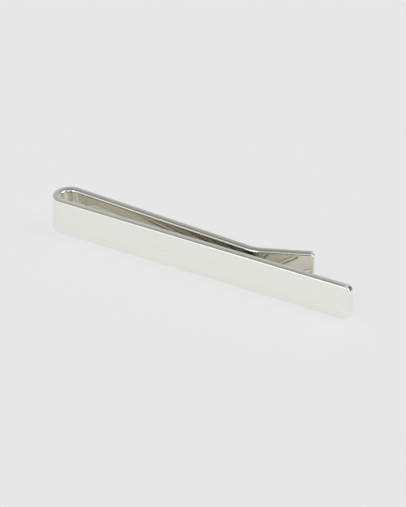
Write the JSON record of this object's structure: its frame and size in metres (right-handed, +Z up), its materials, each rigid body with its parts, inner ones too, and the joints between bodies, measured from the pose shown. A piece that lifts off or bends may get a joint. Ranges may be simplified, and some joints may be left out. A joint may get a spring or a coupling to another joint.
{
  "type": "tie clip",
  "caption": "Slide-on tie clip: a polished flat metal strip bent into a hairpin, with a straight front bar and a springy leg that pinches the cloth and flares at its tip.",
  "frame": {"origin": "centre of the clip's outline seen from above, on the plane that its lower edges stand on", "axes": "+X runs along the front bar from the return bend to the bar's free end, -Y is the way the front face looks, +Z is up along the strip's width"},
  "size_m": [0.0564, 0.0074, 0.006],
  "materials": {
    "polished_metal": "polished"
  },
  "bodies": {
    "bar": {"front_bar": "polished_metal", "return_bend": "polished_metal"},
    "leg": {"spring_leg": "polished_metal", "pinch_bend": "polished_metal", "flared_tip": "polished_metal"}
  },
  "joints": [
    {"name": "leg_flex", "type": "hinge", "parent": "bar", "child": "leg", "pos_m": [-0.02535, -0.00084, 0], "axis": [0, 0, 1], "range_deg": [-1.6, 4], "stiffness_Nm_per_rad": 7.8, "deforming": ["return_bend"]}
  ]
}
